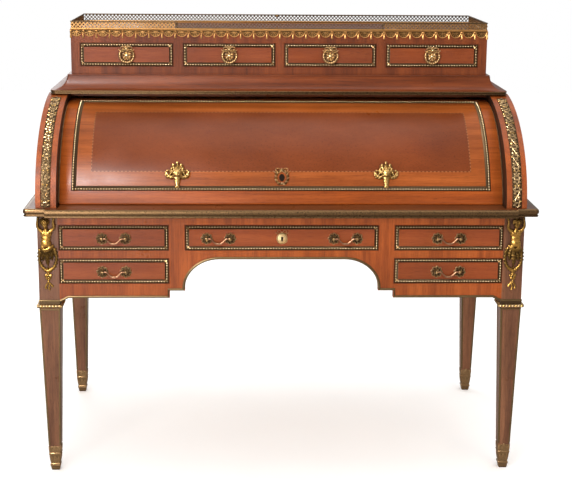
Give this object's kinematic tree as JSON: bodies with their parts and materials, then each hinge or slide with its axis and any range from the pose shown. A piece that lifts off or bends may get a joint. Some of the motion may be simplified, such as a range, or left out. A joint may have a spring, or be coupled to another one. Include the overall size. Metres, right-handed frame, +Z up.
{
  "type": "roll top desk",
  "caption": "Cylinder-fall writing desk: tapered legs, kneehole drawers, pull-out writing slide, swinging curved lid, interior pigeonholes and a galleried case of small drawers.",
  "frame": {"origin": "on the floor, centred under the desk's bounding box", "axes": "+Z up, +X along the width to the sitter's right, -Y towards the sitter"},
  "size_m": [1.424, 0.836, 1.2655],
  "materials": {
    "case_veneer": "polished mahogany and kingwood veneer",
    "lid_veneer": "polished veneer with crossbanding and stringing",
    "leg_wood": "dark polished mahogany",
    "lining_wood": "plain oak and pine, waxed",
    "gilt_brass": "aged gilt brass",
    "leather": "tooled writing leather"
  },
  "bodies": {
    "desk_frame": {"brass_edging": "gilt_brass", "carcass_panels": "case_veneer", "caryatid_mounts": "gilt_brass", "cheek_left": "case_veneer", "cheek_mounts": "gilt_brass", "cheek_right": "case_veneer", "cornice": "case_veneer", "drawer_partitions": "lining_wood", "front_apron": "case_veneer", "gallery": "gilt_brass", "interior_fitment": "lining_wood", "knee_spandrels": "case_veneer", "leg_back_left": "leg_wood", "leg_back_right": "leg_wood", "leg_collars": "gilt_brass", "leg_front_left": "leg_wood", "leg_front_right": "leg_wood", "leg_sabots": "gilt_brass", "swag_frieze": "gilt_brass", "top_margins": "case_veneer", "upper_case": "case_veneer"},
    "lid": {"cylinder_lid": "lid_veneer", "cylinder_runners": "lid_veneer", "cylinder_moulding": "gilt_brass", "cylinder_pulls": "gilt_brass", "cylinder_lock": "gilt_brass"},
    "writing_slide": {"writing_slide": "case_veneer", "slide_leather": "leather", "slide_edging": "gilt_brass"},
    "drawer_upper_left": {"drawer_upper_left": "case_veneer", "drawer_upper_left_mounts": "gilt_brass"},
    "drawer_lower_left": {"drawer_lower_left": "case_veneer", "drawer_lower_left_mounts": "gilt_brass"},
    "drawer_upper_right": {"drawer_upper_right": "case_veneer", "drawer_upper_right_mounts": "gilt_brass"},
    "drawer_lower_right": {"drawer_lower_right": "case_veneer", "drawer_lower_right_mounts": "gilt_brass"},
    "drawer_centre": {"drawer_centre": "case_veneer", "drawer_centre_mounts": "gilt_brass"},
    "bail_upper_left": {"bail_upper_left": "gilt_brass"},
    "bail_lower_left": {"bail_lower_left": "gilt_brass"},
    "bail_upper_right": {"bail_upper_right": "gilt_brass"},
    "bail_lower_right": {"bail_lower_right": "gilt_brass"},
    "bail_centre_left": {"bail_centre_left": "gilt_brass"},
    "bail_centre_right": {"bail_centre_right": "gilt_brass"},
    "small_drawer_outer_left": {"small_drawer_outer_left": "case_veneer", "small_drawer_outer_left_mounts": "gilt_brass"},
    "ring_outer_left": {"ring_outer_left": "gilt_brass"},
    "small_drawer_inner_left": {"small_drawer_inner_left": "case_veneer", "small_drawer_inner_left_mounts": "gilt_brass"},
    "ring_inner_left": {"ring_inner_left": "gilt_brass"},
    "small_drawer_inner_right": {"small_drawer_inner_right": "case_veneer", "small_drawer_inner_right_mounts": "gilt_brass"},
    "ring_inner_right": {"ring_inner_right": "gilt_brass"},
    "small_drawer_outer_right": {"small_drawer_outer_right": "case_veneer", "small_drawer_outer_right_mounts": "gilt_brass"},
    "ring_outer_right": {"ring_outer_right": "gilt_brass"},
    "inner_drawer_left": {"inner_drawer_left": "lining_wood"},
    "inner_drawer_centre": {"inner_drawer_centre": "lining_wood"},
    "inner_drawer_right": {"inner_drawer_right": "lining_wood"}
  },
  "joints": [
    {"name": "lid_swing", "type": "hinge", "parent": "desk_frame", "child": "lid", "pos_m": [0, -0.014, 0.7], "axis": [-1, 0, 0], "range_deg": [0, 44]},
    {"name": "writing_slide_travel", "type": "slide", "parent": "desk_frame", "child": "writing_slide", "axis": [0, -1, 0], "range_m": [0, 0.25]},
    {"name": "drawer_upper_left_travel", "type": "slide", "parent": "desk_frame", "child": "drawer_upper_left", "axis": [0, -1, 0], "range_m": [0, 0.38]},
    {"name": "drawer_lower_left_travel", "type": "slide", "parent": "desk_frame", "child": "drawer_lower_left", "axis": [0, -1, 0], "range_m": [0, 0.38]},
    {"name": "drawer_upper_right_travel", "type": "slide", "parent": "desk_frame", "child": "drawer_upper_right", "axis": [0, -1, 0], "range_m": [0, 0.38]},
    {"name": "drawer_lower_right_travel", "type": "slide", "parent": "desk_frame", "child": "drawer_lower_right", "axis": [0, -1, 0], "range_m": [0, 0.38]},
    {"name": "drawer_centre_travel", "type": "slide", "parent": "desk_frame", "child": "drawer_centre", "axis": [0, -1, 0], "range_m": [0, 0.38]},
    {"name": "bail_upper_left_swing", "type": "hinge", "parent": "drawer_upper_left", "child": "bail_upper_left", "pos_m": [-0.4675, -0.373, 0.69], "axis": [-1, 0, 0], "range_deg": [0, 80]},
    {"name": "bail_lower_left_swing", "type": "hinge", "parent": "drawer_lower_left", "child": "bail_lower_left", "pos_m": [-0.4675, -0.373, 0.595], "axis": [-1, 0, 0], "range_deg": [0, 80]},
    {"name": "bail_upper_right_swing", "type": "hinge", "parent": "drawer_upper_right", "child": "bail_upper_right", "pos_m": [0.4675, -0.373, 0.69], "axis": [-1, 0, 0], "range_deg": [0, 80]},
    {"name": "bail_lower_right_swing", "type": "hinge", "parent": "drawer_lower_right", "child": "bail_lower_right", "pos_m": [0.4675, -0.373, 0.595], "axis": [-1, 0, 0], "range_deg": [0, 80]},
    {"name": "bail_centre_left_swing", "type": "hinge", "parent": "drawer_centre", "child": "bail_centre_left", "pos_m": [-0.177, -0.373, 0.69], "axis": [-1, 0, 0], "range_deg": [0, 80]},
    {"name": "bail_centre_right_swing", "type": "hinge", "parent": "drawer_centre", "child": "bail_centre_right", "pos_m": [0.177, -0.373, 0.69], "axis": [-1, 0, 0], "range_deg": [0, 80]},
    {"name": "small_drawer_outer_left_travel", "type": "slide", "parent": "desk_frame", "child": "small_drawer_outer_left", "axis": [0, -1, 0], "range_m": [0, 0.19]},
    {"name": "ring_outer_left_swing", "type": "hinge", "parent": "small_drawer_outer_left", "child": "ring_outer_left", "pos_m": [-0.449, -0.044, 1.192], "axis": [-1, 0, 0], "range_deg": [0, 80]},
    {"name": "small_drawer_inner_left_travel", "type": "slide", "parent": "desk_frame", "child": "small_drawer_inner_left", "axis": [0, -1, 0], "range_m": [0, 0.19]},
    {"name": "ring_inner_left_swing", "type": "hinge", "parent": "small_drawer_inner_left", "child": "ring_inner_left", "pos_m": [-0.1485, -0.044, 1.192], "axis": [-1, 0, 0], "range_deg": [0, 80]},
    {"name": "small_drawer_inner_right_travel", "type": "slide", "parent": "desk_frame", "child": "small_drawer_inner_right", "axis": [0, -1, 0], "range_m": [0, 0.19]},
    {"name": "ring_inner_right_swing", "type": "hinge", "parent": "small_drawer_inner_right", "child": "ring_inner_right", "pos_m": [0.1485, -0.044, 1.192], "axis": [-1, 0, 0], "range_deg": [0, 80]},
    {"name": "small_drawer_outer_right_travel", "type": "slide", "parent": "desk_frame", "child": "small_drawer_outer_right", "axis": [0, -1, 0], "range_m": [0, 0.19]},
    {"name": "ring_outer_right_swing", "type": "hinge", "parent": "small_drawer_outer_right", "child": "ring_outer_right", "pos_m": [0.449, -0.044, 1.192], "axis": [-1, 0, 0], "range_deg": [0, 80]},
    {"name": "inner_drawer_left_travel", "type": "slide", "parent": "desk_frame", "child": "inner_drawer_left", "axis": [0, -1, 0], "range_m": [0, 0.11]},
    {"name": "inner_drawer_centre_travel", "type": "slide", "parent": "desk_frame", "child": "inner_drawer_centre", "axis": [0, -1, 0], "range_m": [0, 0.11]},
    {"name": "inner_drawer_right_travel", "type": "slide", "parent": "desk_frame", "child": "inner_drawer_right", "axis": [0, -1, 0], "range_m": [0, 0.11]}
  ]
}
